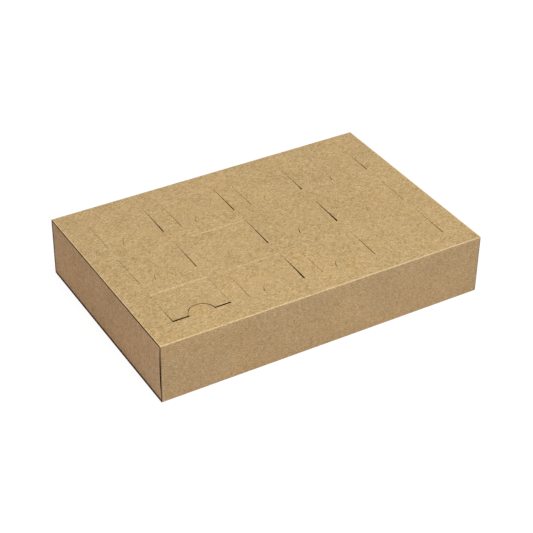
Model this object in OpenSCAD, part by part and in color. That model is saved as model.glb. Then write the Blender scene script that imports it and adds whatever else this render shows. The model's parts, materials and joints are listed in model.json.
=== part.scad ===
// Blank kraft calendar box, made of folded board: an open-ended sleeve with twelve doors cut
// in its top, and a slide-out tray with hollow walls that holds a grid of cells, one per door.
// X runs along the box, Y from its front long side to its back, and Z up from its underside.

/* [Sleeve] */
// Length of the sleeve, end to end
box_l = 300; // [260:1:400]
// Width of the sleeve over its outside faces
box_w = 200; // [175:1:280]
// Height of the sleeve over its outside faces
box_h = 55; // [30:1:90]
// Height of the glue tab inside the sleeve's back panel
tab_h = 18; // [8:1:24]
// Length of the slanted stretch at each end of the glue tab
tab_end_l = 8; // [1:1:20]

/* [Board] */
// Thickness of the sleeve's board, and of the doors cut from it
sleeve_t = 0.6; // [0.4:0.1:1.2]
// Thickness of the tray's board
tray_t = 0.6; // [0.4:0.1:1.2]
// Thickness of the dividers' board
divider_t = 0.6; // [0.4:0.1:1.2]
// Inside radius of every fold
fold_r = 0.4; // [0.2:0.1:1]

/* [Doors] */
// Strip of top panel between two doors side by side
door_gap_x = 16.2; // [8:0.2:30]
// Strip of top panel between one row of doors and the next
door_gap_y = 16.8; // [8:0.2:24]
// Radius of the half-moon thumb notch in a door's front edge
notch_r = 11; // [6:0.5:16]
// Width of the cut round a door
kerf = 0.3; // [0.2:0.05:0.6]

/* [Tray] */
// Room between the tray and the sleeve, at its sides and above its rim
tray_fit = 0.8; // [0.4:0.1:1.5]
// Room under the tray, where it slides on the sleeve's bottom panel
tray_lift = 0.2; // [0.1:0.05:0.5]
// How far each end of the tray stays back from the sleeve's end
tray_inset = 0.5; // [0:0.1:2]
// Width of the hollow wall at each end of the tray
end_wall_w = 14; // [9:0.5:22]
// Width of the hollow wall along each long side of the tray
side_wall_w = 12.5; // [9:0.5:18]
// Width of the flaps that foot the inner walls on the base
foot_w = 7; // [4:0.5:7.5]
// Open seam where two hollow walls meet at a corner
seam = 0.3; // [0.2:0.1:0.8]

/* [Dividers] */
// How far the dividers' tops lie below the tray's rim
divider_drop = 1; // [0.5:0.5:8]
// Room at each end of a divider, beside the inner wall
divider_fit = 0.3; // [0.1:0.1:1]
// Extra width and depth of the slots in which the dividers cross
slot_fit = 0.2; // [0.1:0.05:0.6]

/* [Hidden] */
$fn = 48;

// The grid: one door over each cell, rows counted from the front and columns from the left
columns = 4;
row_names = ["front", "middle", "back"];
rows = len(row_names);

// The sleeve's back panel is two boards thick where the glue tab lies inside it,
// so the tray fits between the front panel and the tab
tray_l = box_l - 2 * tray_inset;
tray_front = -box_w / 2 + sleeve_t + tray_fit;
tray_back = box_w / 2 - 2 * sleeve_t - tray_fit;
tray_w = tray_back - tray_front;
tray_y = (tray_front + tray_back) / 2;
tray_z = sleeve_t + tray_lift;
tray_h = box_h - 2 * sleeve_t - tray_lift - tray_fit;

// Inside the hollow walls, and the share of it that each cell has
inner_l = tray_l - 2 * end_wall_w;
inner_w = tray_w - 2 * side_wall_w;
cell_l = inner_l / columns;
cell_w = inner_w / rows;

door_l = cell_l - door_gap_x;
door_w = cell_w - door_gap_y;

divider_z = tray_z + tray_t;
divider_h = tray_h - tray_t - divider_drop;
// Where a long divider's slot ends and a cross divider's begins
lap_z = divider_h / 2;
slot_w = divider_t + slot_fit;

// Cuts reach this far past the board
past = 1;

sleeve_colour = [0.78, 0.67, 0.47];
door_colour = [0.80, 0.69, 0.49];
tray_colour = [0.66, 0.55, 0.42];
divider_colour = [0.72, 0.61, 0.45];

function door_name(row, column) = str(row_names[row], "_door_", column + 1);
function long_divider_name(i) = str("long_divider_", i);
function cross_divider_name(i) = str("cross_divider_", i);

// Middle of a cell, and of the door above it
function cell_x(column) = (column - (columns - 1) / 2) * cell_l;
function cell_y(row) = tray_y + (row - (rows - 1) / 2) * cell_w;

// A flat outline in Y and Z, drawn out along X
module along_x(length) {
    rotate([90, 0, 90]) linear_extrude(height = length, center = true) children();
}

// One fold seen end on: a quarter of a ring round (y, z), turned to its quadrant
module fold(y, z, board, turn) {
    outer = fold_r + board;
    translate([y, z]) rotate(turn) intersection() {
        difference() {
            circle(r = outer);
            circle(r = fold_r);
        }
        square(outer);
    }
}

// The sleeve seen end on: back, top, front and bottom panels in one strip, and the glue tab
// that turns up from the bottom panel inside the back one
module sleeve_section() {
    r = fold_r + sleeve_t;
    half = box_w / 2;
    inside = half - sleeve_t;
    translate([inside, sleeve_t / 2]) square([sleeve_t, box_h - r - sleeve_t / 2]);
    fold(half - r, box_h - r, sleeve_t, 0);
    translate([-half + r, box_h - sleeve_t]) square([box_w - 2 * r, sleeve_t]);
    fold(-half + r, box_h - r, sleeve_t, 90);
    translate([-half, r]) square([sleeve_t, box_h - 2 * r]);
    fold(-half + r, r, sleeve_t, 180);
    translate([-half + r, 0]) square([half - r + inside - r, sleeve_t]);
    fold(inside - r, r, sleeve_t, 270);
}

// Glue tab, a strip with slanted ends, standing on its fold against the back panel
module glue_tab() {
    foot = fold_r + sleeve_t;
    half = box_l / 2;
    translate([0, box_w / 2 - sleeve_t, 0]) rotate([90, 0, 0]) linear_extrude(height = sleeve_t)
        polygon([
            [-half, foot],
            [half, foot],
            [half - tab_end_l, foot + tab_h],
            [-half + tab_end_l, foot + tab_h]
        ]);
}

// A door's outline, smaller than its opening by gap all round; the half moon in its front
// edge stays on the top panel as a tongue
module door_outline(gap) {
    difference() {
        square([door_l - 2 * gap, door_w - 2 * gap], center = true);
        translate([0, -door_w / 2]) circle(r = notch_r + gap);
    }
}

module sleeve() {
    color(sleeve_colour) {
        difference() {
            along_x(box_l) sleeve_section();
            for (row = [0:rows - 1]) for (column = [0:columns - 1])
                translate([cell_x(column), cell_y(row), box_h - sleeve_t - past])
                    linear_extrude(height = sleeve_t + 2 * past) door_outline(0);
        }
        glue_tab();
    }
}

// Door, level with the top panel and creased along its back edge
module door(row, column) {
    color(door_colour)
        translate([cell_x(column), cell_y(row), box_h - sleeve_t])
            linear_extrude(height = sleeve_t) door_outline(kerf);
}

// A hollow wall seen end on, with its outer face on y = 0: outer wall, rim, inner wall and
// the flap that is glued to the base under the rim
module wall_section(width) {
    r = fold_r + tray_t;
    fold(r, r, tray_t, 180);
    translate([0, r]) square([tray_t, tray_h - 2 * r]);
    fold(r, tray_h - r, tray_t, 90);
    translate([r, tray_h - tray_t]) square([width - 2 * r, tray_t]);
    fold(width - r, tray_h - r, tray_t, 0);
    translate([width - tray_t, tray_t + r]) square([tray_t, tray_h - tray_t - 2 * r]);
    fold(width - r, tray_t + r, tray_t, 270);
    translate([width - foot_w, tray_t]) square([foot_w - r, tray_t]);
}

// One hollow wall along X, mitred where it meets the walls of width beside at its ends: the
// outer walls meet in a closed corner, and behind them a seam runs on to the inner corner
module hollow_wall(length, width, beside) {
    half = length / 2;
    r = fold_r + tray_t;
    back_off = seam / sqrt(2);
    corner = [
        [half, 0],
        [half - r, r],
        [half - r - back_off, r],
        [half - beside + r - back_off, width - r],
        [half - beside - back_off, width]
    ];
    intersection() {
        along_x(length) wall_section(width);
        linear_extrude(height = tray_h)
            polygon(concat(corner, [for (i = [len(corner) - 1:-1:0]) [-corner[i].x, corner[i].y]]));
    }
}

module tray() {
    r = fold_r + tray_t;
    color(tray_colour) translate([0, tray_y, tray_z]) {
        for (turn = [0, 180]) {
            rotate(turn) translate([0, -tray_w / 2, 0])
                hollow_wall(tray_l, side_wall_w, end_wall_w);
            rotate(turn + 90) translate([0, -tray_l / 2, 0])
                hollow_wall(tray_w, end_wall_w, side_wall_w);
        }
        translate([-tray_l / 2 + r, -tray_w / 2 + r, 0])
            cube([tray_l - 2 * r, tray_w - 2 * r, tray_t]);
    }
}

// Long divider number i from the front, slotted from above for the cross dividers
module long_divider(i) {
    length = inner_l - 2 * divider_fit;
    color(divider_colour)
        translate([0, tray_y + (i - rows / 2) * cell_w, divider_z])
            difference() {
                translate([-length / 2, -divider_t / 2, 0]) cube([length, divider_t, divider_h]);
                for (k = [1:columns - 1])
                    translate([(k - columns / 2) * cell_l, 0, lap_z - slot_fit / 2 + divider_h / 2])
                        cube([slot_w, divider_t + 2 * past, divider_h], center = true);
            }
}

// Cross divider number i from the left, slotted from below for the long dividers
module cross_divider(i) {
    length = inner_w - 2 * divider_fit;
    color(divider_colour)
        translate([(i - columns / 2) * cell_l, tray_y, divider_z])
            difference() {
                translate([-divider_t / 2, -length / 2, 0]) cube([divider_t, length, divider_h]);
                for (k = [1:rows - 1])
                    translate([0, (k - rows / 2) * cell_w, lap_z + slot_fit / 2 - divider_h / 2])
                        cube([divider_t + 2 * past, slot_w, divider_h], center = true);
            }
}

sleeve();
tray();
for (row = [0:rows - 1]) for (column = [0:columns - 1])
    door(row, column);
for (i = [1:rows - 1])
    long_divider(i);
for (i = [1:columns - 1])
    cross_divider(i);
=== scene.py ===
import json
import math
from collections import namedtuple

import bmesh
import bpy
from mathutils import Matrix, Vector, noise


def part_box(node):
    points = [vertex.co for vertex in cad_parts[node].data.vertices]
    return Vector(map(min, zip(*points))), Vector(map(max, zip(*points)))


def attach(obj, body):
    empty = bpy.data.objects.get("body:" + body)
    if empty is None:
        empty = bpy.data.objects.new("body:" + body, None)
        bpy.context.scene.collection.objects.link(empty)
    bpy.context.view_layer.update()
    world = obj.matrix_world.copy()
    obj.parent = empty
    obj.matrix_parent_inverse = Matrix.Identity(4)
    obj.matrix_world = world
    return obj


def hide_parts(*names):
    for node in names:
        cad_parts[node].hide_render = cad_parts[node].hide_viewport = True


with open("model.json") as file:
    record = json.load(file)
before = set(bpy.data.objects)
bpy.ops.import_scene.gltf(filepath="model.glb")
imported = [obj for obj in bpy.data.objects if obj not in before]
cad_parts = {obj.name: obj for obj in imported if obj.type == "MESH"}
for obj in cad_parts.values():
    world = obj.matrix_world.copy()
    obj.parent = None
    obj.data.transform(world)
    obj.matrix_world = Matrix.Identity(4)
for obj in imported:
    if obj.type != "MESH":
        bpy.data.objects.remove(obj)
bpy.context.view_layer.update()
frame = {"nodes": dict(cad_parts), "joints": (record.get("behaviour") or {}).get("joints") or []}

# Lengths are in metres, and the short ones are written in millimetres
MM = 0.001

# The grid of doors, rows counted from the front and columns from the left
ROWS = ("front", "middle", "back")
COLUMNS = 4
DOOR_NAMES = [f"{row}_door_{column + 1}" for row in ROWS for column in range(COLUMNS)]

# Board, folds and cuts, as the solids have them
SOLID_CUT = 0.3 * MM
NOTCH_RADIUS = 11 * MM
FOLD_RADIUS = 1.0 * MM
TAB_HEIGHT = 18 * MM
TAB_SLANT = 8 * MM
TRAY_FOOT = 7 * MM
SIDE_WALL = 12.5 * MM
SOLID_END_WALL = 14 * MM
DIVIDER_SLOT = 0.8 * MM

# Glue between the tab and the back panel
GLUE = 0.04 * MM
# How much nearer to the sleeve's ends and to its top panel the tray reaches than its solid
TRAY_REACH = 0.4 * MM
TRAY_RISE = 0.5 * MM
END_WALL = SOLID_END_WALL + TRAY_REACH
# How far the walls' foot goes in past its fold, to where the base starts
WALL_LAP = 2 * MM
# How much each mitre at the tray's corners is cut back at its inner end
MITRE_GAP = 0.15 * MM

# How finely bent board is divided
FOLD_STEPS = 6
PANEL_STEP = 7 * MM
ARC_STEPS = 28

# What lies nearer than this to a place counts as lying on it, and a dividing plane takes in
# what is nearer than the finer one
NEAR = 0.01 * MM
PLANE_NEAR = 0.001 * MM

# Pale band painted along the sleeve's ends as a highlight beside their cut edges: width and
# strength
END_BAND = 1.3 * MM
END_HIGHLIGHT = 0.8
# Painted shade at the sleeve's ends, standing in for the dark gaps round the tray: inside on its
# bottom and back panels, outside on its front panel
BOTTOM_SHADE = 1.0
BACK_SHADE = 0.8
FRONT_SHADE = 0.7
# Width of the strips of painted shade beside the corners of the tray's long walls, and how far
# the painted shade on its end walls fades at the rim and at the foot
CORNER_SHADE_WIDTH = 1.6 * MM
RIM_FADE = 0.45 * MM
FOOT_FADE = 1.3 * MM
# Painted highlight on the tray's end walls: how pale it is at the front corner, and over how far it
# fades
CORNER_HIGHLIGHT = 0.14
CORNER_HIGHLIGHT_RUN = 90 * MM

# How the top panel cockles, and the margin in which it comes down to its folds
COCKLE_HEIGHT = 0.16 * MM
COCKLE_MARGIN = 12 * MM
# At its front corners the tray spreads towards the sleeve at its bottom and rim, and is drawn
# in at half height
CORNER_SPREAD = 0.5 * MM
CORNER_DRAW = 1.1 * MM
CORNER_REACH = 14 * MM
CORNER_RUN = 60 * MM
# How far the tray's rim sinks towards its ends, wavering as it goes
RIM_DROP = 0.2 * MM

# Arris left by the die on the face that it entered, and how far the die goes past the board
ARRIS = 0.09 * MM
DIE_PAST = 1 * MM

# The places of a board's faces in its list of materials
OUTSIDE, EDGE, INSIDE, WORN_AND_HIGHLIT, UPRIGHT = range(5)

sleeve_low, sleeve_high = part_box("sleeve")
tray_low, tray_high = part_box("tray")
first_low, first_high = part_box(DOOR_NAMES[0])
board = first_high.z - first_low.z
top = sleeve_high.z
hinges = [joint for joint in frame["joints"] if joint["type"] == "hinge"]
creases = {joint["child"]: joint["pos_m"][1] for joint in hinges}


# Camera, at the photograph's angle and distance

CAMERA_AZIMUTH = math.radians(-30.99)
CAMERA_ELEVATION = math.radians(35.09)
CAMERA_ROLL = math.radians(0.87)
CAMERA_DISTANCE = 1.3056
CAMERA_ASIDE = -0.00207
CAMERA_RAISED = -0.01275
FOCAL_PIXELS = 1520
FRAME_PIXELS = 533
SENSOR_WIDTH = 36


def make_camera():
    data = bpy.data.cameras.new("camera")
    data.sensor_width = SENSOR_WIDTH
    data.lens = FOCAL_PIXELS / FRAME_PIXELS * SENSOR_WIDTH
    data.clip_start, data.clip_end = 0.05, 60
    camera = bpy.data.objects.new("camera", data)
    bpy.context.scene.collection.objects.link(camera)
    a, e, r = CAMERA_AZIMUTH, CAMERA_ELEVATION, CAMERA_ROLL
    back = Vector((math.sin(a) * math.cos(e), -math.cos(a) * math.cos(e), math.sin(e)))
    level = Vector((math.cos(a), math.sin(a), 0))
    upright = back.cross(level)
    right = math.cos(r) * level + math.sin(r) * upright
    up = math.cos(r) * upright - math.sin(r) * level
    place = back * CAMERA_DISTANCE - right * CAMERA_ASIDE - up * CAMERA_RAISED
    turn = Matrix((right, up, back)).transposed().to_4x4()
    camera.matrix_world = Matrix.Translation(place) @ turn
    bpy.context.scene.camera = camera


# Shader nodes

def put(tree, kind, inputs=(), **settings):
    """A node with its settings, and its inputs set to values or joined to other nodes."""
    node = tree.nodes.new("ShaderNode" + kind)
    for key, value in settings.items():
        setattr(node, key, value)
    for key, value in dict(inputs).items():
        if isinstance(value, bpy.types.NodeSocket):
            tree.links.new(value, node.inputs[key])
        else:
            node.inputs[key].default_value = value
    return node


def sums(tree, *terms):
    """The sum of each socket's distance from its middle value, times its weight."""
    total = None
    for socket, middle, weight in terms:
        away = put(tree, "Math", {0: socket, 1: -middle}, operation="ADD").outputs[0]
        if total is None:
            total = put(tree, "Math", {0: away, 1: weight}, operation="MULTIPLY").outputs[0]
        else:
            inputs = {0: away, 1: weight, 2: total}
            total = put(tree, "Math", inputs, operation="MULTIPLY_ADD").outputs[0]
    return total


def between(tree, socket, low, high):
    """0 where the socket is under low, 1 over high, smooth between."""
    settings = {"Value": socket, "From Min": low, "From Max": high, "To Min": 0.0, "To Max": 1.0}
    return put(tree, "MapRange", settings, interpolation_type="SMOOTHSTEP").outputs["Result"]


def noise_at(tree, coordinates, scale, detail, rough=0.5):
    settings = {"Vector": coordinates, "Scale": scale, "Detail": detail, "Roughness": rough}
    return put(tree, "TexNoise", settings).outputs["Fac"]


def stretched(tree, coordinates, sizes):
    """Coordinates counted in grains of these sizes, which stretches a noise along the longest."""
    per_metre = [1 / size for size in sizes]
    return put(tree, "Mapping", {"Vector": coordinates, "Scale": per_metre}).outputs["Vector"]


def amount_at(tree, name):
    """The piece's own attribute of this name."""
    return put(tree, "Attribute", attribute_name=name, attribute_type="GEOMETRY").outputs["Fac"]


def seen_by_camera(tree):
    """1 for the camera's rays and for those that it gets through gloss or glass, else 0."""
    ray = put(tree, "LightPath")
    seen = ray.outputs["Is Camera Ray"]
    for kind in ("Is Glossy Ray", "Is Transmission Ray"):
        either = put(tree, "Math", {0: seen, 1: ray.outputs[kind]}, operation="ADD", use_clamp=True)
        seen = either.outputs[0]
    return seen


# Kraft board

# Linear colours: the sleeve's face, board that is rubbed pale and painted highlit, cut edges,
# which are burnt dark and darkened further as painted shade in cuts and gaps, the sleeve's inside,
# the tray's face, and painted shade
KRAFT = (0.530, 0.370, 0.179)
KRAFT_WORN_AND_HIGHLIT = (0.80, 0.625, 0.37)
KRAFT_EDGE = (0.080, 0.024, 0.002)
KRAFT_INSIDE = (0.470, 0.318, 0.165)
KRAFT_TRAY = (0.560, 0.367, 0.164)
PAINTED_SHADE_COLOUR = (0.060, 0.019, 0.001)
# The face's colour is multiplied by these: its dark and pale ends, its warm clouds, its pale
# hairs and its dark flecks
DARK_TINT = (0.40, 0.31, 0.12)
PALE_TINT = (1.60, 1.70, 1.98)
WARM_TINT = (1.0, 0.973, 0.92)
HAIR_TINT = (1.22, 1.27, 1.4)
FLECK_TINT = (0.38, 0.30, 0.25)
FLECK_DEPTH = 0.4
# Patterns that run evenly in all directions, by how many of their cells fill a metre
CLOUDS = 28
WARM_CLOUDS = 30
MOTTLE = 230
GRIT = 1300
FLECKS = 120.0
# Fibres and hairs, across and along the grain
FIBRE_WIDTH = 0.65 * MM
FIBRE_LENGTH = 2.3 * MM
HAIR_WIDTH = 0.5 * MM
HAIR_LENGTH = 6 * MM
# Surface: depth of its relief, how much of that shows, and how little it shines
RELIEF_DEPTH = 0.12 * MM
RELIEF_STRENGTH = 0.13
ROUGHNESS = 0.82
BOARD_SHINE = 0.08


def tinted(colour, tint):
    return (colour[0] * tint[0], colour[1] * tint[1], colour[2] * tint[2], 1)


def mixed(tree, share, first, second, **settings):
    """The first colour where share is 0, and the second where it is 1."""
    inputs = {"Fac": share, "Color1": first, "Color2": second}
    return put(tree, "MixRGB", inputs, **settings).outputs["Color"]


def make_kraft(name, colour, grain, contrast, takes_wear_and_shade=True):
    """Uncoated brown board: clouding, mottle, long fibres, grit, dark flecks and pale hairs.
    grain is the axis that the fibres follow, and contrast scales how far the tone varies.
    Board that takes wear and shade turns pale where its pale attribute is high, partly crushed
    fibres and partly a painted highlight, and dark where its shade attribute is high, which is
    painted shade."""
    material = bpy.data.materials.new(name)
    material.use_nodes = True
    tree = material.node_tree
    tree.nodes.clear()
    place = put(tree, "TexCoord").outputs["Object"]
    fibre_sizes = [FIBRE_WIDTH] * 3
    fibre_sizes[grain] = FIBRE_LENGTH
    hair_sizes = [HAIR_WIDTH] * 3
    hair_sizes[grain] = HAIR_LENGTH
    clouds = noise_at(tree, place, CLOUDS, 2)
    mottle = noise_at(tree, place, MOTTLE, 4, 0.6)
    fibres = noise_at(tree, stretched(tree, place, fibre_sizes), 1, 3, 0.65)
    grit = noise_at(tree, place, GRIT, 2, 0.65)
    hairs = noise_at(tree, stretched(tree, place, hair_sizes), 1, 1)
    tone = sums(
        tree,
        (clouds, 0.5, 0.20 * contrast),
        (mottle, 0.5, 0.32 * contrast),
        (fibres, 0.5, 1.3 * contrast),
        (grit, 0.5, 1.2 * contrast)
    )
    level = put(tree, "Math", {0: tone, 1: 0.5}, operation="ADD").outputs[0]
    ramp = put(tree, "ValToRGB", {"Fac": level})
    stops = ramp.color_ramp.elements
    stops[0].position, stops[0].color = 0.0, tinted(colour, DARK_TINT)
    stops[1].position, stops[1].color = 1.0, tinted(colour, PALE_TINT)
    middle = stops.new(0.5)
    middle.color = (*colour, 1)
    warm = between(tree, noise_at(tree, place, WARM_CLOUDS, 3, 0.6), 0.40, 0.64)
    warmed = mixed(tree, warm, ramp.outputs["Color"], (*WARM_TINT, 1), blend_type="MULTIPLY")
    pale = between(tree, hairs, 0.66, 0.76)
    with_hairs = mixed(tree, pale, warmed, tinted(colour, HAIR_TINT))
    cells = put(tree, "TexVoronoi", {"Vector": place, "Scale": FLECKS, "Randomness": 1.0})
    chosen = put(tree, "SeparateColor", {"Color": cells.outputs["Color"]})
    size_limit = put(
        tree, "Math", {0: chosen.outputs[0], 1: 0.06, 2: -0.012}, operation="MULTIPLY_ADD"
    ).outputs[0]
    within = put(
        tree, "Math", {0: size_limit, 1: cells.outputs["Distance"]}, operation="SUBTRACT"
    ).outputs[0]
    fleck = between(tree, within, 0.0, 0.03)
    fleck_share = put(tree, "Math", {0: fleck, 1: FLECK_DEPTH}, operation="MULTIPLY").outputs[0]
    with_flecks = mixed(tree, fleck_share, with_hairs, tinted(colour, FLECK_TINT))
    finished = with_flecks
    shine = 0.0
    if takes_wear_and_shade:
        # Pale where the wear attribute is high: partly crushed fibres, partly a painted highlight
        rubbed_and_highlit = amount_at(tree, "wear_and_highlight")
        broken = sums(tree, (fibres, 0.0, 1.5), (grit, 0.5, 0.8))
        rub_and_highlight = put(
            tree, "Math", {0: rubbed_and_highlit, 1: broken}, operation="MULTIPLY", use_clamp=True
        ).outputs[0]
        rubbed_and_highlit_board = mixed(tree, rub_and_highlight, with_flecks, (*KRAFT_WORN_AND_HIGHLIT, 1))
        # Painted shade: dark where the shade attribute is high, with no shine there
        painted_shade_share = amount_at(tree, "painted_shade")
        finished = mixed(tree, painted_shade_share, rubbed_and_highlit_board, (*PAINTED_SHADE_COLOUR, 1))
        shine = put(
            tree, "Math", {0: painted_shade_share, 1: -BOARD_SHINE, 2: BOARD_SHINE}, operation="MULTIPLY_ADD"
        ).outputs[0]
    relief = sums(tree, (fibres, 0.5, 0.7), (mottle, 0.5, 0.4), (grit, 0.5, 0.25))
    bump = put(
        tree, "Bump", {"Height": relief, "Strength": RELIEF_STRENGTH, "Distance": RELIEF_DEPTH}
    )
    shader = put(tree, "BsdfPrincipled", {
        "Base Color": finished,
        "Roughness": ROUGHNESS,
        "Specular IOR Level": shine,
        "Normal": bump.outputs["Normal"]
    })
    output = put(tree, "OutputMaterial", {"Surface": shader.outputs["BSDF"]})
    output.is_active_output = True
    return material


# Sheets of board

def cut_across(bm, place, normal, **settings):
    """Divides the faces through which the plane passes."""
    every = bm.verts[:] + bm.edges[:] + bm.faces[:]
    return bmesh.ops.bisect_plane(
        bm, geom=every, plane_co=place, plane_no=normal, dist=PLANE_NEAR, **settings
    )


def add_to(whole, part):
    """Moves the part's faces into the whole."""
    mesh = bpy.data.meshes.new("part")
    part.to_mesh(mesh)
    part.free()
    whole.from_mesh(mesh)
    bpy.data.meshes.remove(mesh)


def remade(made):
    """The object's mesh with its modifiers applied."""
    graph = bpy.context.evaluated_depsgraph_get()
    return bpy.data.meshes.new_from_object(made.evaluated_get(graph))


def object_from(bm, name, materials):
    mesh = bpy.data.meshes.new(name)
    bm.to_mesh(mesh)
    bm.free()
    for material in materials:
        mesh.materials.append(material)
    made = bpy.data.objects.new(name, mesh)
    bpy.context.scene.collection.objects.link(made)
    return made


def take_away(made):
    mesh = made.data
    bpy.data.objects.remove(made)
    bpy.data.meshes.remove(mesh)


def folded_path(corners, radius, step):
    """Points and their paleness along a strip of board seen end on: square folds at the inner
    corners, pale as crushed fibres and a painted highlight, and straight stretches divided into
    steps."""
    corners = [Vector(corner) for corner in corners]
    stops = [[corners[0]]]
    for before, corner, after in zip(corners, corners[1:], corners[2:]):
        a = (before - corner).normalized()
        b = (after - corner).normalized()
        centre = corner + (a + b) * radius
        angles = [math.pi / 2 * i / FOLD_STEPS for i in range(FOLD_STEPS + 1)]
        stops.append([centre - b * radius * math.cos(t) - a * radius * math.sin(t) for t in angles])
    stops.append([corners[-1]])
    points, fold_wear_and_highlight = [], []
    for i, stop in enumerate(stops):
        if i:
            start, end = stops[i - 1][-1], stop[0]
            count = max(1, round((end - start).length / step))
            points += [start.lerp(end, k / count) for k in range(1, count)]
            fold_wear_and_highlight += [0.0] * (count - 1)
        points += stop
        last = len(stop) - 1
        fold_wear_and_highlight += [math.sin(math.pi * k / last) if last else 0.0 for k in range(len(stop))]
    return points, fold_wear_and_highlight


def sheet_along_x(path, low, high, step):
    """The path in Y and Z, drawn out along X into one layer of faces."""
    points, fold_wear_and_highlight = path
    bm = bmesh.new()
    wear_and_highlight = bm.verts.layers.float.new("wear_and_highlight")
    verts = [bm.verts.new((low, p.x, p.y)) for p in points]
    for vert, amount in zip(verts, fold_wear_and_highlight):
        vert[wear_and_highlight] = amount
    edges = [bm.edges.new(pair) for pair in zip(verts, verts[1:])]
    count = round((high - low) / step)
    bmesh.ops.spin(
        bm, geom=verts + edges, cent=(0, 0, 0), axis=(1, 0, 0), angle=0,
        dvec=((high - low) / count, 0, 0), steps=count, use_merge=False
    )
    return bm


def face_outwards(bm, towards):
    """Turns the sheet so that its face farthest along towards points that way."""
    bm.normal_update()
    farthest = max(bm.faces, key=lambda face: face.calc_center_median().dot(towards))
    if farthest.normal.dot(towards) < 0:
        bmesh.ops.reverse_faces(bm, faces=bm.faces[:])


def thickened(bm, materials):
    """The sheet given the board's thickness inwards, with its raw edges and inside marked."""
    sheet = object_from(bm, "sheet", materials)
    solid = sheet.modifiers.new("thickness", "SOLIDIFY")
    solid.thickness = board
    solid.offset = -1
    solid.use_even_offset = True
    solid.material_offset_rim = EDGE
    solid.material_offset = INSIDE
    mesh = remade(sheet)
    take_away(sheet)
    made = bmesh.new()
    made.from_mesh(mesh)
    bpy.data.meshes.remove(mesh)
    return made


def finish_piece(made, body, node):
    """Smooth folds and crisp arrises, and the piece's place in the frame."""
    made.data.polygons.foreach_set("use_smooth", [True] * len(made.data.polygons))
    made.data.set_sharp_from_angle(angle=math.radians(32))
    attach(made, body)
    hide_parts(node)


def break_arrises(bm, edges):
    """Takes off the sharp edges, and gives the narrow faces left there the pale board: crushed
    fibres, and a painted highlight along the edge.
    """
    broken = bmesh.ops.bevel(
        bm, geom=edges, offset=ARRIS, affect="EDGES", segments=1, profile=0.5, material=-1
    )
    for face in broken["faces"]:
        face.material_index = WORN_AND_HIGHLIT


def cockle(x, y):
    """How far the top panel lies off its plane, as board does that has taken up moisture."""
    swell = noise.noise(Vector((x * 14, y * 19, 3.1)))
    ripple = noise.noise(Vector((x * 37, y * 41, 8.7)))
    wave = swell + 0.5 * ripple
    edge = min(sleeve_high.x - abs(x), sleeve_high.y - abs(y)) / COCKLE_MARGIN
    return COCKLE_HEIGHT * wave * max(0.0, min(1.0, edge))


# Sleeve

def opening_outline(name, grow):
    """The outline of a door's opening, anticlockwise, with the half-moon tongue left standing
    in its front edge. It is larger by grow all round."""
    low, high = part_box(name)
    middle = (low.x + high.x) / 2
    left, right = low.x - SOLID_CUT - grow, high.x + SOLID_CUT + grow
    front, back = low.y - SOLID_CUT - grow, creases[name] + grow
    radius = NOTCH_RADIUS - grow
    centre = low.y - SOLID_CUT
    foot = math.asin(-grow / radius)
    outline = [(left, back), (left, front)]
    for i in range(ARC_STEPS + 1):
        angle = math.pi - foot - (math.pi - 2 * foot) * i / ARC_STEPS
        outline.append((middle + radius * math.cos(angle), centre + radius * math.sin(angle)))
    return outline + [(right, front), (right, back)]


def make_cutters(materials):
    """One solid for each opening, flared at the top so that it leaves an arris."""
    bm = bmesh.new()
    levels = ((top - board - DIE_PAST, 0), (top - ARRIS, 0), (top + ARRIS, 2 * ARRIS))
    for name in DOOR_NAMES:
        loops = []
        for z, grow in levels:
            verts = [bm.verts.new((x, y, z)) for x, y in opening_outline(name, grow)]
            loops.append([bm.edges.new(pair) for pair in zip(verts, verts[1:] + verts[:1])])
        # The cut walls take the dark edge board, and the flare the pale board, a painted highlight
        # along the cut
        for lower, upper, place in zip(loops, loops[1:], (EDGE, WORN_AND_HIGHLIT)):
            made = bmesh.ops.bridge_loops(bm, edges=lower + upper)
            for face in made["faces"]:
                face.material_index = place
        for loop in (loops[0], loops[-1]):
            bmesh.ops.contextual_create(bm, geom=loop)
    bmesh.ops.recalc_face_normals(bm, faces=bm.faces[:])
    return object_from(bm, "cutters", materials)


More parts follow.
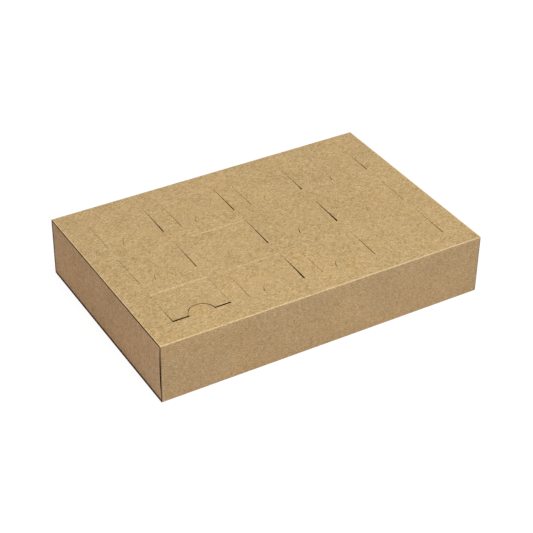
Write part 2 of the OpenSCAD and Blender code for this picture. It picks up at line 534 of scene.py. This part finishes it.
def make_sleeve(materials):
    half = sleeve_high.y
    inside = half - board - GLUE
    corners = [
        (inside, FOLD_RADIUS + TAB_HEIGHT),
        (inside, 0),
        (-half, 0),
        (-half, top),
        (half, top),
        (half, board / 2)
    ]
    path = folded_path(corners, FOLD_RADIUS, PANEL_STEP)
    bm = sheet_along_x(path, sleeve_low.x, sleeve_high.x, PANEL_STEP)
    face_outwards(bm, Vector((0, 0, 1)))
    for side in (-1, 1):
        cut_across(bm, (side * (sleeve_high.x - END_BAND), 0, 0), (1, 0, 0))
    # A pale band along the sleeve's ends, which is a painted highlight
    wear_and_highlight = bm.verts.layers.float["wear_and_highlight"]
    for vert in bm.verts:
        if abs(vert.co.x) > sleeve_high.x - END_BAND / 2:
            vert[wear_and_highlight] = max(vert[wear_and_highlight], END_HIGHLIGHT)
        on_tab = abs(vert.co.y - inside) < NEAR and vert.co.z > FOLD_RADIUS
        if on_tab:
            rise = (vert.co.z - FOLD_RADIUS) / TAB_HEIGHT
            vert.co.x *= 1 - TAB_SLANT * rise / sleeve_high.x
    bm = thickened(bm, materials)
    # Painted shade at the sleeve's ends: inside the bottom and back panels and outside the front
    # panel, for the dark gaps round the tray
    painted_shade = bm.verts.layers.float.new("painted_shade")
    for vert in bm.verts:
        if abs(vert.co.x) > sleeve_high.x - NEAR:
            if abs(vert.co.z - board) < NEAR:
                vert[painted_shade] = BOTTOM_SHADE
            elif abs(vert.co.y - (half - board)) < NEAR:
                vert[painted_shade] = BACK_SHADE
            elif vert.co.y < NEAR - half:
                vert[painted_shade] = FRONT_SHADE
    sleeve = object_from(bm, "sleeve_board", materials)
    cutters = make_cutters(materials)
    cut = sleeve.modifiers.new("openings", "BOOLEAN")
    cut.operation = "DIFFERENCE"
    cut.solver = "EXACT"
    cut.object = cutters
    mesh = remade(sleeve)
    take_away(sleeve)
    take_away(cutters)
    for vert in mesh.vertices:
        if vert.co.z > top - 1.5 * board:
            vert.co.z += cockle(vert.co.x, vert.co.y)
    sleeve = bpy.data.objects.new("sleeve_board", mesh)
    bpy.context.scene.collection.objects.link(sleeve)
    finish_piece(sleeve, "sleeve", "sleeve")


# Doors

# How each door sits. In millimetres: the cut left open at the front of its left and right
# sides and along its front, how far its front left and right corners are pushed in (or stand
# proud, if negative), how far its right corner is bent down besides, and how far its notch
# lies to the left of the tongue and behind it. The last two have no unit: how pale its crease
# is painted, partly crushed fibres and partly a painted highlight, and how late the door bends
DoorFit = namedtuple("DoorFit", [
    "left_cut", "right_cut", "front_cut", "left_push", "right_push", "corner_bend", "aside",
    "behind", "crease", "lateness"
])
DOOR_FITS = {
    "front_door_1": (0.34, 0.42, 0.80, -0.80, -0.70, 0.0, 0.0, 0.50, 1.0, 4.5),
    "front_door_2": (0.65, 1.10, 0.05, 0.35, 0.62, 0.0, 0.14, 0.12, 0.6, 1.1),
    "front_door_3": (0.45, 0.50, 0.05, 0.20, 0.32, 0.0, 0.16, 0.22, 0.0, 1.1),
    "front_door_4": (0.35, 0.50, 0.05, 0.20, 0.32, 0.0, 0.07, 0.03, 0.0, 1.1),
    "middle_door_1": (0.50, 0.55, 0.05, 0.25, 0.45, 0.1, 0.18, 0.05, 0.3, 1.1),
    "middle_door_2": (0.15, 0.80, 0.05, 0.30, 0.55, 0.0, 0.03, 0.03, 1.0, 1.1),
    "middle_door_3": (0.20, 1.05, 0.05, 0.35, 0.65, 0.0, 0.24, 0.04, 0.0, 1.1),
    "middle_door_4": (0.15, 0.30, 0.05, 0.12, 0.16, 0.1, 0.16, 0.04, 0.0, 1.1),
    "back_door_1": (0.45, 0.75, 0.05, 0.25, 0.50, 0.1, 0.17, 0.03, 0.0, 1.1),
    "back_door_2": (0.65, 0.80, 0.05, 0.25, 0.50, 0.0, 0.18, 0.05, 0.2, 1.1),
    "back_door_3": (0.65, 0.50, 0.05, 0.18, 0.28, 1.0, 0.10, 0.05, 0.0, 1.1),
    "back_door_4": (0.35, 0.50, 0.05, 0.20, 0.34, 0.15, 0.20, 0.03, 0.0, 1.1)
}
# Width in which the pale band along a crease fades out, partly crushed fibres and partly a painted
# highlight, and where it is divided once more
CREASE_BAND = 1.7 * MM
CREASE_CORE = 0.6 * MM
# Cut beside a door's crease, and the least play all round it
CREASE_CUT = 0.12 * MM
PLAY = 0.03 * MM
# Strips in which a door bends, each way
DOOR_STRIPS = 9


def door_outline(fit, left, right, front, back):
    """The door's outline, anticlockwise, with its notch as an arc in its front edge."""
    aside = fit.aside * MM
    front_edge = front + fit.front_cut * MM
    notch_x = (left + right) / 2 - aside
    radius = NOTCH_RADIUS + aside + PLAY
    if fit.front_cut * MM > CREASE_CUT:
        radius += fit.front_cut * MM / 2
    notch_y = front + fit.behind * MM - (radius - NOTCH_RADIUS)
    foot = math.asin((front_edge - notch_y) / radius)
    outline = [(left + CREASE_CUT, back - PLAY), (left + fit.left_cut * MM, front_edge)]
    for i in range(ARC_STEPS + 1):
        angle = math.pi - foot - (math.pi - 2 * foot) * i / ARC_STEPS
        outline.append((notch_x + radius * math.cos(angle), notch_y + radius * math.sin(angle)))
    return outline + [(right - fit.right_cut * MM, front_edge), (right - CREASE_CUT, back - PLAY)]


def make_door(name, materials):
    fit = DoorFit(*DOOR_FITS[name])
    low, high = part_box(name)
    left, right = low.x - SOLID_CUT, high.x + SOLID_CUT
    front, back = low.y - SOLID_CUT, creases[name]
    outline = door_outline(fit, left, right, front, back)
    bm = bmesh.new()
    wear_and_highlight = bm.verts.layers.float.new("wear_and_highlight")
    under = bm.faces.new([bm.verts.new((x, y, top - board)) for x, y in outline])
    raised = bmesh.ops.extrude_face_region(bm, geom=[under])
    lifted = [item for item in raised["geom"] if isinstance(item, bmesh.types.BMVert)]
    bmesh.ops.translate(bm, verts=lifted, vec=(0, 0, board))
    bmesh.ops.recalc_face_normals(bm, faces=bm.faces[:])
    for face in bm.faces:
        face.material_index = EDGE
        if face.normal.z > 0.9:
            face.material_index = OUTSIDE
            arrises = face.edges[:]
        if face.normal.z < -0.9:
            face.material_index = INSIDE
    break_arrises(bm, arrises)
    for i in range(1, DOOR_STRIPS):
        cut_across(bm, (left + (right - left) * i / DOOR_STRIPS, 0, 0), (1, 0, 0))
        cut_across(bm, (0, front + (back - front) * i / DOOR_STRIPS, 0), (0, 1, 0))
    for distance in (CREASE_CORE, CREASE_BAND):
        cut_across(bm, (0, back - distance, 0), (0, 1, 0))
    for vert in bm.verts:
        across = (vert.co.x - left) / (right - left)
        along = (back - vert.co.y) / (back - front)
        push = (fit.left_push * (1 - across) + fit.right_push * across) * along ** fit.lateness
        push += fit.corner_bend * across ** 5 * along ** 8
        # A pale band along the crease, partly crushed fibres and partly a painted highlight
        vert[wear_and_highlight] = fit.crease * max(0.0, 1 - (back - vert.co.y) / CREASE_BAND)
        vert.co.z += cockle(vert.co.x, vert.co.y) - push * MM
    door = object_from(bm, f"{name}_board", materials)
    finish_piece(door, name, name)


# Tray

def hollow_wall(length, width, beside, at_end, materials):
    """A hollow wall along X with its outer face on y = 0: outer wall, rim, inner wall and the
    flap under the rim, mitred at its ends to the walls of width beside. One at an end of the
    tray gets painted shade at its rim and foot, and a long one beside its corners, for the dark
    gaps between the tray and the sleeve."""
    rise = tray_high.z - tray_low.z + TRAY_RISE
    corners = [
        (FOLD_RADIUS + WALL_LAP, 0),
        (0, 0),
        (0, rise),
        (width, rise),
        (width, board),
        (width - TRAY_FOOT, board)
    ]
    path = folded_path(corners, FOLD_RADIUS, PANEL_STEP)
    bm = sheet_along_x(path, -length / 2, length / 2, PANEL_STEP)
    face_outwards(bm, Vector((0, -1, 0)))
    shade_limits = [
        ((CORNER_SHADE_WIDTH - length / 2, 0, 0), (1, 0, 0)),
        ((length / 2 - CORNER_SHADE_WIDTH, 0, 0), (1, 0, 0)),
        ((0, 0, FOLD_RADIUS + FOOT_FADE), (0, 0, 1))
    ]
    for place, normal in shade_limits:
        cut_across(bm, place, normal)
    wall = thickened(bm, materials)
    # Painted shade at the end walls' rim and foot and beside the long walls' corners, for the dark
    # gaps between tray and sleeve
    painted_shade = wall.verts.layers.float.new("painted_shade")
    for vert in wall.verts:
        if at_end and vert.co.y < FOLD_RADIUS:
            from_rim = (FOLD_RADIUS + vert.co.z - rise) / RIM_FADE
            from_foot = (FOLD_RADIUS + FOOT_FADE - vert.co.z) / FOOT_FADE
            vert[painted_shade] = max(0.0, min(1.0, max(from_rim, from_foot)))
        elif not at_end and vert.co.y < NEAR and abs(vert.co.x) > length / 2 - CORNER_SHADE_WIDTH / 2:
            vert[painted_shade] = 1.0
    for side in (-1, 1):
        outer = Vector((side * length / 2, 0, 0))
        inner = Vector((side * (length / 2 - beside - MITRE_GAP), width, 0))
        run = inner - outer
        normal = Vector((run.y * side, -run.x * side, 0))
        cut = cut_across(wall, outer, normal, clear_outer=True)
        rim = [item for item in cut["geom_cut"] if isinstance(item, bmesh.types.BMEdge)]
        bmesh.ops.edgeloop_fill(wall, edges=rim, mat_nr=EDGE)
    return wall


def settle_tray(vert):
    """Bends the tray's front wall, most at its two ends, and lowers the rim there."""
    height = (vert.co.z - tray_low.z) / (tray_high.z + TRAY_RISE - tray_low.z)
    bulge = 4 * height * (1 - height)
    near = max(0.0, 1 - (vert.co.y - tray_low.y) / CORNER_REACH)
    end = max(0.0, 1 - (tray_high.x - abs(vert.co.x)) / CORNER_RUN)
    vert.co.y += near * end * ((CORNER_SPREAD + CORNER_DRAW) * bulge - CORNER_SPREAD)
    wave = noise.noise(Vector((vert.co.x * 9, vert.co.y * 24, 5.3)))
    vert.co.z -= height ** 4 * RIM_DROP * (1 + 1.2 * wave) * end ** 2


def make_tray(materials):
    length, width = tray_high.x - tray_low.x + 2 * TRAY_REACH, tray_high.y - tray_low.y
    middle = (tray_low + tray_high) / 2
    whole = bmesh.new()
    whole.verts.layers.float.new("wear_and_highlight")
    whole.verts.layers.float.new("painted_shade")
    for turn in range(4):
        if turn % 2:
            wall = hollow_wall(width, END_WALL, SIDE_WALL, True, materials)
            shift = length / 2
        else:
            wall = hollow_wall(length, SIDE_WALL, END_WALL, False, materials)
            shift = width / 2
        place = (
            Matrix.Translation((middle.x, middle.y, tray_low.z))
            @ Matrix.Rotation(turn * math.pi / 2, 4, "Z") @ Matrix.Translation((0, -shift, 0))
        )
        bmesh.ops.transform(wall, matrix=place, verts=wall.verts[:])
        add_to(whole, wall)
    base = bmesh.new()
    base.verts.layers.float.new("wear_and_highlight")
    edge = FOLD_RADIUS + WALL_LAP
    size = Matrix.Translation((middle.x, middle.y, tray_low.z)) @ Matrix.Diagonal(
        (length / 2 - edge, width / 2 - edge, 1, 1)
    )
    bmesh.ops.create_grid(base, x_segments=40, y_segments=26, size=1, matrix=size)
    face_outwards(base, Vector((0, 0, -1)))
    add_to(whole, thickened(base, materials))
    whole.normal_update()
    for face in whole.faces:
        if face.material_index == OUTSIDE and abs(face.normal.x) > 0.7:
            face.material_index = UPRIGHT
    # Painted highlight on the end walls, strongest at the front corner and fading towards the back
    wear_and_highlight = whole.verts.layers.float["wear_and_highlight"]
    for vert in whole.verts:
        if abs(vert.co.x) > tray_high.x - FOLD_RADIUS:
            from_front = vert.co.y - tray_low.y
            vert[wear_and_highlight] += CORNER_HIGHLIGHT * max(0.0, 1 - from_front / CORNER_HIGHLIGHT_RUN)
            if from_front < CORNER_SHADE_WIDTH:
                vert[wear_and_highlight] += CORNER_HIGHLIGHT
        settle_tray(vert)
    tray = object_from(whole, "tray_board", materials)
    finish_piece(tray, "tray", "tray")


# Dividers

def make_divider(name, slots_up, crossing, materials):
    """A strip of board on edge, with a slot at each crossing, open above or below."""
    low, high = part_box(name)
    along = 0 if high.x - low.x > high.y - low.y else 1
    middle = (low + high) / 2
    slot = DIVIDER_SLOT / 2
    start, end = low[along], high[along]
    lap = middle.z
    outline = [(start, low.z), (end, low.z), (end, high.z), (start, high.z)]
    teeth = []
    for place in sorted(crossing):
        edge = high.z if slots_up else low.z
        left, right = place - slot, place + slot
        teeth.append([(left, edge), (left, lap), (right, lap), (right, edge)])
    if slots_up:
        flat = [point for tooth in reversed(teeth) for point in reversed(tooth)]
        outline = outline[:3] + flat + outline[3:]
    else:
        flat = [point for tooth in teeth for point in tooth]
        outline = outline[:1] + flat + outline[1:]
    bm = bmesh.new()
    bm.verts.layers.float.new("wear_and_highlight")
    side = middle[1 - along] - board / 2
    verts = []
    for run, z in outline:
        verts.append(bm.verts.new((run, side, z) if along == 0 else (side, run, z)))
    face = bm.faces.new(verts)
    pushed = bmesh.ops.extrude_face_region(bm, geom=[face])
    moved = [item for item in pushed["geom"] if isinstance(item, bmesh.types.BMVert)]
    bmesh.ops.translate(bm, verts=moved, vec=(0, board, 0) if along == 0 else (board, 0, 0))
    bmesh.ops.recalc_face_normals(bm, faces=bm.faces[:])
    flats = [f for f in bm.faces if abs(f.normal[1 - along]) > 0.9]
    for f in bm.faces:
        f.material_index = OUTSIDE if f in flats else EDGE
    arrises = list({edge for f in flats for edge in f.edges})
    break_arrises(bm, arrises)
    divider = object_from(bm, f"{name}_board", materials)
    finish_piece(divider, "tray", name)


# Studio

# Half the floor's side, in metres, and how far the floor lies under the box
FLOOR_HALF = 8
FLOOR_DROP = 0.02 * MM
FLOOR_COLOUR = (0.79, 0.76, 0.88, 1)
FLOOR_SHADE = (0.15, 0.15, 0.15, 1)
FLOOR_GLOW = 0.9
WHITE = (1, 1, 1, 1)
SKY_COLOUR = (1, 0.93, 1.26, 1)
SKY_STRENGTH = 0.385
SOFTBOX_PLACE = (0.0, -0.58, 1.6)
SOFTBOX_SIDE = 1.1
SOFTBOX_WATTS = 20.3
SOFTBOX_COLOUR = (1.0, 1.055, 0.85)


def make_stage():
    """A pale floor, which the camera sees as white apart from the object's shadow."""
    bm = bmesh.new()
    under = Matrix.Translation((0, 0, -FLOOR_DROP))
    bmesh.ops.create_grid(bm, x_segments=1, y_segments=1, size=FLOOR_HALF, matrix=under)
    material = bpy.data.materials.new("floor")
    material.use_nodes = True
    tree = material.node_tree
    tree.nodes.clear()
    plain = put(tree, "BsdfDiffuse", {"Color": FLOOR_COLOUR})
    faint = put(tree, "BsdfDiffuse", {"Color": FLOOR_SHADE})
    glow = put(tree, "Emission", {"Color": WHITE, "Strength": FLOOR_GLOW})
    lit = put(tree, "AddShader", {0: glow.outputs[0], 1: faint.outputs[0]})
    both = {"Fac": seen_by_camera(tree), 1: plain.outputs[0], 2: lit.outputs[0]}
    surface = put(tree, "MixShader", both)
    put(tree, "OutputMaterial", {"Surface": surface.outputs[0]})
    floor = object_from(bm, "floor", [material])


def make_world():
    """Soft light from all round, which the camera sees as white."""
    world = bpy.data.worlds.new("studio")
    world.use_nodes = True
    tree = world.node_tree
    tree.nodes.clear()
    soft = put(tree, "Background", {"Color": SKY_COLOUR, "Strength": SKY_STRENGTH})
    white = put(tree, "Background", {"Color": WHITE, "Strength": 1.0})
    both = {"Fac": seen_by_camera(tree), 1: soft.outputs[0], 2: white.outputs[0]}
    surface = put(tree, "MixShader", both)
    put(tree, "OutputWorld", {"Surface": surface.outputs[0]})
    bpy.context.scene.world = world


def add_softbox():
    """A large soft lamp above the box and in front of it, turned to its middle."""
    data = bpy.data.lights.new("overhead_softbox", "AREA")
    data.shape = "SQUARE"
    data.size = SOFTBOX_SIDE
    data.energy = SOFTBOX_WATTS
    data.color = SOFTBOX_COLOUR
    lamp = bpy.data.objects.new("overhead_softbox", data)
    bpy.context.scene.collection.objects.link(lamp)
    lamp.location = SOFTBOX_PLACE
    lamp.rotation_mode = "QUATERNION"
    lamp.rotation_quaternion = (-Vector(SOFTBOX_PLACE)).to_track_quat("-Z", "Y")


make_camera()
make_stage()
make_world()
add_softbox()

# Each list of boards has them in the order of the faces' places
half_worn_and_highlit = [(face + rubbed_and_highlit) / 2 for face, rubbed_and_highlit in zip(KRAFT, KRAFT_WORN_AND_HIGHLIT)]
sleeve_face = make_kraft("kraft_outside", KRAFT, 0, 1.0)
tray_face = make_kraft("kraft_tray", KRAFT_TRAY, 0, 1.0)
tray_end = make_kraft("kraft_upright", KRAFT_TRAY, 2, 1.0)
reverse = make_kraft("kraft_inside", KRAFT_INSIDE, 0, 0.8)
# Cut edges are burnt dark, and darker still as painted shade inside the narrow cuts and gaps
cut_edge = make_kraft("kraft_edge", KRAFT_EDGE, 0, 0.8, takes_wear_and_shade=False)
# The arrises' board is halfway to the pale colour: crushed fibres, and a painted highlight along
# the cut edges
arris = make_kraft("kraft_worn_and_highlit", half_worn_and_highlit, 0, 0.8)
boards = [sleeve_face, cut_edge, reverse, arris, tray_end]
tray_boards = [tray_face, cut_edge, reverse, arris, tray_end]

make_sleeve(boards)
for door_name in DOOR_NAMES:
    make_door(door_name, boards)
make_tray(tray_boards)
long_dividers = [name for name in frame["nodes"] if name.startswith("long_divider")]
cross_dividers = [name for name in frame["nodes"] if name.startswith("cross_divider")]
long_lines = [sum(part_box(name), Vector())[1] / 2 for name in long_dividers]
cross_lines = [sum(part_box(name), Vector())[0] / 2 for name in cross_dividers]
for name in long_dividers:
    make_divider(name, True, cross_lines, boards)
for name in cross_dividers:
    make_divider(name, False, long_lines, boards)

scene = bpy.context.scene
scene.view_settings.view_transform = "Standard"
